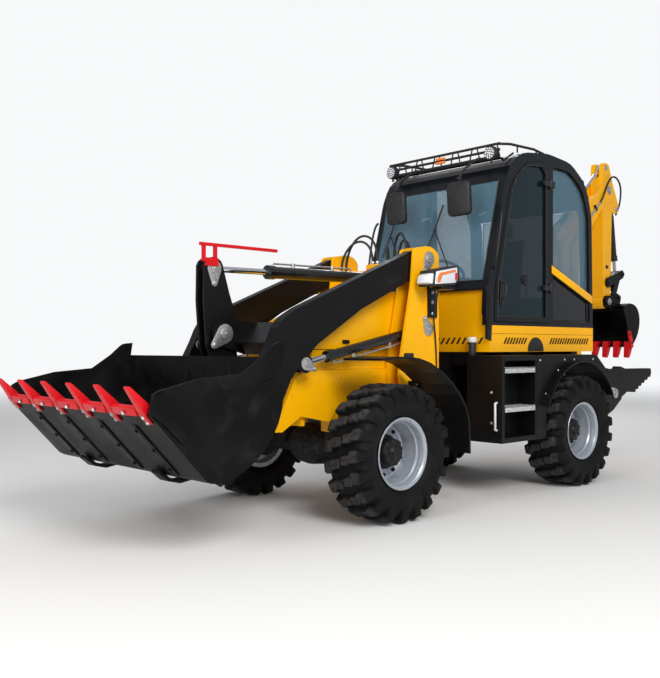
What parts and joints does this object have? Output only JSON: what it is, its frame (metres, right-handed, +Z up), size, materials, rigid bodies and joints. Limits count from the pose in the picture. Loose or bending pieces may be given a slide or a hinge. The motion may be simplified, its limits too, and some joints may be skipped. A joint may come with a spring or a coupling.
{
  "type": "backhoe loader",
  "caption": "Articulated backhoe loader with a Z-bar front bucket, a tall glazed cab and a folded digging arm at the rear.",
  "frame": {"origin": "middle of the footprint at ground level, with the front frame steered straight", "axes": "+X forward to the loader bucket, +Y to the machine's left, +Z up"},
  "size_m": [7.5935, 2.12, 3.6],
  "materials": {
    "yellow_paint": "gloss paint",
    "black_paint": "satin paint",
    "charcoal_paint": "satin metallic paint",
    "red_paint": "gloss paint",
    "wheel_silver": "satin metallic paint",
    "chromed_rod": "polished",
    "dark_iron": "matte, as cast and painted",
    "tyre_rubber": "matte",
    "seat_vinyl": "grained vinyl",
    "tinted_glass": "clear with a faint teal tint"
  },
  "bodies": {
    "rear_frame": {"rear_axle": "dark_iron", "rear_chassis": "black_paint", "side_platform_left": "black_paint", "side_platform_right": "black_paint", "step_box_left": "black_paint", "step_box_right": "black_paint", "cab_base": "yellow_paint", "cab_frame": "charcoal_paint", "windscreen": "tinted_glass", "rear_window": "tinted_glass", "side_window_left": "tinted_glass", "side_window_right": "tinted_glass", "roof_rack": "black_paint", "operator_seat": "seat_vinyl", "dash_console": "black_paint"},
    "front_frame": {"front_axle": "dark_iron", "front_chassis": "yellow_paint", "engine_hood": "yellow_paint", "engine_block": "dark_iron", "loader_towers": "yellow_paint", "front_fender_left": "black_paint", "front_fender_right": "black_paint"},
    "door_left_leaf": {"door_left": "black_paint", "door_glass_left": "tinted_glass"},
    "door_right_leaf": {"door_right": "black_paint", "door_glass_right": "tinted_glass"},
    "loader_arms_body": {"loader_arms": "black_paint"},
    "rocker_body": {"rocker": "black_paint", "level_indicator": "red_paint"},
    "tilt_link_body": {"tilt_link": "black_paint"},
    "loader_bucket_body": {"loader_bucket": "black_paint", "bucket_teeth": "red_paint"},
    "lift_barrel_left": {"lift_left_barrel": "black_paint"},
    "lift_rod_left": {"lift_left_rod": "chromed_rod"},
    "lift_barrel_right": {"lift_right_barrel": "black_paint"},
    "lift_rod_right": {"lift_right_rod": "chromed_rod"},
    "tilt_barrel_body": {"tilt_barrel": "black_paint"},
    "tilt_rod_body": {"tilt_rod": "chromed_rod"},
    "swing_post_body": {"swing_post": "yellow_paint"},
    "boom_body": {"boom": "yellow_paint"},
    "stick_body": {"stick": "yellow_paint"},
    "curl_lever_body": {"curl_lever": "black_paint"},
    "digger_link_body": {"digger_link": "black_paint"},
    "digger_bucket_body": {"digger_bucket": "black_paint"},
    "boom_ram_barrel_body": {"boom_ram_barrel": "black_paint"},
    "boom_ram_rod_body": {"boom_ram_rod": "chromed_rod"},
    "stick_ram_barrel_body": {"stick_ram_barrel": "black_paint"},
    "stick_ram_rod_body": {"stick_ram_rod": "chromed_rod"},
    "curl_ram_barrel_body": {"curl_ram_barrel": "black_paint"},
    "curl_ram_rod_body": {"curl_ram_rod": "chromed_rod"},
    "stabiliser_left_body": {"stabiliser_left": "black_paint"},
    "stabiliser_right_body": {"stabiliser_right": "black_paint"},
    "wheel_front_left": {"tyre_front_left": "tyre_rubber", "rim_front_left": "wheel_silver"},
    "wheel_front_right": {"tyre_front_right": "tyre_rubber", "rim_front_right": "wheel_silver"},
    "wheel_rear_left": {"tyre_rear_left": "tyre_rubber", "rim_rear_left": "wheel_silver"},
    "wheel_rear_right": {"tyre_rear_right": "tyre_rubber", "rim_rear_right": "wheel_silver"}
  },
  "joints": [
    {"name": "steering", "type": "hinge", "parent": "rear_frame", "child": "front_frame", "pos_m": [0.217, 0, 0.81], "axis": [0, 0, 1], "range_deg": [-30, 30]},
    {"name": "loader_lift", "type": "hinge", "parent": "front_frame", "child": "loader_arms_body", "pos_m": [0.657, 0, 2.11], "axis": [0, -1, 0], "range_deg": [-8, 64]},
    {"name": "bucket_tilt", "type": "hinge", "parent": "loader_arms_body", "child": "loader_bucket_body", "pos_m": [2.797, 0, 0.475], "axis": [0, 1, 0], "range_deg": [-2, 110]},
    {"name": "backhoe_swing", "type": "hinge", "parent": "rear_frame", "child": "swing_post_body", "pos_m": [-2.393, 0, 0.8], "axis": [0, 0, 1], "range_deg": [-85, 85]},
    {"name": "boom_lower", "type": "hinge", "parent": "swing_post_body", "child": "boom_body", "pos_m": [-2.593, 0, 1.14], "axis": [0, -1, 0], "range_deg": [0, 110]},
    {"name": "stick_extend", "type": "hinge", "parent": "boom_body", "child": "stick_body", "pos_m": [-3.323, 0, 3.27], "axis": [0, 1, 0], "range_deg": [0, 95]},
    {"name": "digger_curl", "type": "hinge", "parent": "stick_body", "child": "digger_bucket_body", "pos_m": [-3.283, 0, 1.9], "axis": [0, -1, 0], "range_deg": [0, 80]},
    {"name": "stabiliser_left_lower", "type": "hinge", "parent": "rear_frame", "child": "stabiliser_left_body", "pos_m": [-1.993, 0.82, 0.86], "axis": [0, -1, 0], "range_deg": [0, 80]},
    {"name": "door_left_open", "type": "hinge", "parent": "rear_frame", "child": "door_left_leaf", "pos_m": [-0.963, 0.775, 2.3], "axis": [0, 0, 1], "range_deg": [0, 95]},
    {"name": "stabiliser_right_lower", "type": "hinge", "parent": "rear_frame", "child": "stabiliser_right_body", "pos_m": [-1.993, -0.82, 0.86], "axis": [0, -1, 0], "range_deg": [0, 80]},
    {"name": "door_right_open", "type": "hinge", "parent": "rear_frame", "child": "door_right_leaf", "pos_m": [-0.963, -0.775, 2.3], "axis": [0, 0, -1], "range_deg": [0, 95]},
    {"name": "wheel_front_left_spin", "type": "hinge", "parent": "front_frame", "child": "wheel_front_left", "pos_m": [1.467, 0.86, 0.532], "axis": [0, 1, 0], "continuous": true},
    {"name": "wheel_front_right_spin", "type": "hinge", "parent": "front_frame", "child": "wheel_front_right", "pos_m": [1.467, -0.86, 0.532], "axis": [0, 1, 0], "continuous": true},
    {"name": "wheel_rear_left_spin", "type": "hinge", "parent": "rear_frame", "child": "wheel_rear_left", "pos_m": [-1.15, 0.86, 0.532], "axis": [0, 1, 0], "continuous": true},
    {"name": "wheel_rear_right_spin", "type": "hinge", "parent": "rear_frame", "child": "wheel_rear_right", "pos_m": [-1.15, -0.86, 0.532], "axis": [0, 1, 0], "continuous": true},
    {"name": "lift_left_barrel_swing", "type": "hinge", "parent": "front_frame", "child": "lift_barrel_left", "pos_m": [0.667, 0.5, 1.5], "axis": [0, -1, 0], "range_deg": [-8.23, 58.86]},
    {"name": "lift_left_rod_slide", "type": "slide", "parent": "lift_barrel_left", "child": "lift_rod_left", "axis": [0.9799, 0, -0.1995], "range_m": [-0.0826, 0.6259]},
    {"name": "lift_right_barrel_swing", "type": "hinge", "parent": "front_frame", "child": "lift_barrel_right", "pos_m": [0.667, -0.5, 1.5], "axis": [0, -1, 0], "range_deg": [-8.23, 58.86]},
    {"name": "lift_right_rod_slide", "type": "slide", "parent": "lift_barrel_right", "child": "lift_rod_right", "axis": [0.9799, 0, -0.1995], "range_m": [-0.0826, 0.6259]},
    {"name": "tilt_barrel_swing", "type": "hinge", "parent": "front_frame", "child": "tilt_barrel_body", "pos_m": [0.747, 0, 1.968], "axis": [0, -1, 0], "range_deg": [-9.01, 65.1]},
    {"name": "tilt_rod_slide", "type": "slide", "parent": "tilt_barrel_body", "child": "tilt_rod_body", "axis": [0.9999, 0, -0.0128], "range_m": [-0.2608, 0.0097]},
    {"name": "rocker_turn", "type": "hinge", "parent": "loader_arms_body", "child": "rocker_body", "pos_m": [2.467, 0, 1.45], "axis": [0, -1, 0], "range_deg": [-1.54, 30.87]},
    {"name": "tilt_link_turn", "type": "hinge", "parent": "rocker_body", "child": "tilt_link_body", "pos_m": [2.287, 0, 0.75], "axis": [0, 1, 0], "range_deg": [-1.69, 38.89]},
    {"name": "boom_ram_barrel_swing", "type": "hinge", "parent": "swing_post_body", "child": "boom_ram_barrel_body", "pos_m": [-2.273, 0, 1.34], "axis": [0, -1, 0], "range_deg": [-1, 105.29]},
    {"name": "boom_ram_rod_slide", "type": "slide", "parent": "boom_ram_barrel_body", "child": "boom_ram_rod_body", "axis": [0.1443, 0, 0.9895], "range_m": [-0.005, 0.6108]},
    {"name": "stick_ram_barrel_swing", "type": "hinge", "parent": "boom_body", "child": "stick_ram_barrel_body", "pos_m": [-2.278, 0, 2.7], "axis": [0, 1, 0], "range_deg": [-3.55, 1]},
    {"name": "stick_ram_rod_slide", "type": "slide", "parent": "stick_ram_barrel_body", "child": "stick_ram_rod_body", "axis": [-0.767, 0, 0.6417], "range_m": [-0.4088, 0.005]},
    {"name": "curl_lever_turn", "type": "hinge", "parent": "stick_body", "child": "curl_lever_body", "pos_m": [-3.323, 0, 2.14], "axis": [0, -1, 0], "range_deg": [-1, 57.54]},
    {"name": "digger_link_turn", "type": "hinge", "parent": "curl_lever_body", "child": "digger_link_body", "pos_m": [-3.663, 0, 2.26], "axis": [0, 1, 0], "range_deg": [-1, 40.26]},
    {"name": "curl_ram_barrel_swing", "type": "hinge", "parent": "stick_body", "child": "curl_ram_barrel_body", "pos_m": [-3.543, 0, 3.06], "axis": [0, -1, 0], "range_deg": [-1, 6.13]},
    {"name": "curl_ram_rod_slide", "type": "slide", "parent": "curl_ram_barrel_body", "child": "curl_ram_rod_body", "axis": [-0.1483, 0, -0.9889], "range_m": [-0.005, 0.3355]}
  ],
  "couplings": [
    {"joint": "lift_left_barrel_swing", "follows": "loader_lift", "ratio": 0.90412},
    {"joint": "lift_left_rod_slide", "follows": "loader_lift", "m_per_rad": 0.55587},
    {"joint": "lift_right_barrel_swing", "follows": "loader_lift", "ratio": 0.90412},
    {"joint": "lift_right_rod_slide", "follows": "loader_lift", "m_per_rad": 0.55587},
    {"joint": "tilt_barrel_swing", "follows": "loader_lift", "ratio": 1.0016},
    {"joint": "tilt_rod_slide", "follows": "bucket_tilt", "m_per_rad": -0.13323},
    {"joint": "rocker_turn", "follows": "bucket_tilt", "ratio": 0.27154},
    {"joint": "tilt_link_turn", "follows": "bucket_tilt", "ratio": 0.34448},
    {"joint": "boom_ram_barrel_swing", "follows": "boom_lower", "ratio": 0.94807},
    {"joint": "boom_ram_rod_slide", "follows": "boom_lower", "m_per_rad": 0.31556},
    {"joint": "stick_ram_barrel_swing", "follows": "stick_extend", "ratio": -0.026832},
    {"joint": "stick_ram_rod_slide", "follows": "stick_extend", "m_per_rad": -0.24351},
    {"joint": "curl_lever_turn", "follows": "digger_curl", "ratio": 0.70675},
    {"joint": "digger_link_turn", "follows": "digger_curl", "ratio": 0.49077},
    {"joint": "curl_ram_barrel_swing", "follows": "digger_curl", "ratio": 0.064138},
    {"joint": "curl_ram_rod_slide", "follows": "digger_curl", "m_per_rad": 0.23674}
  ]
}
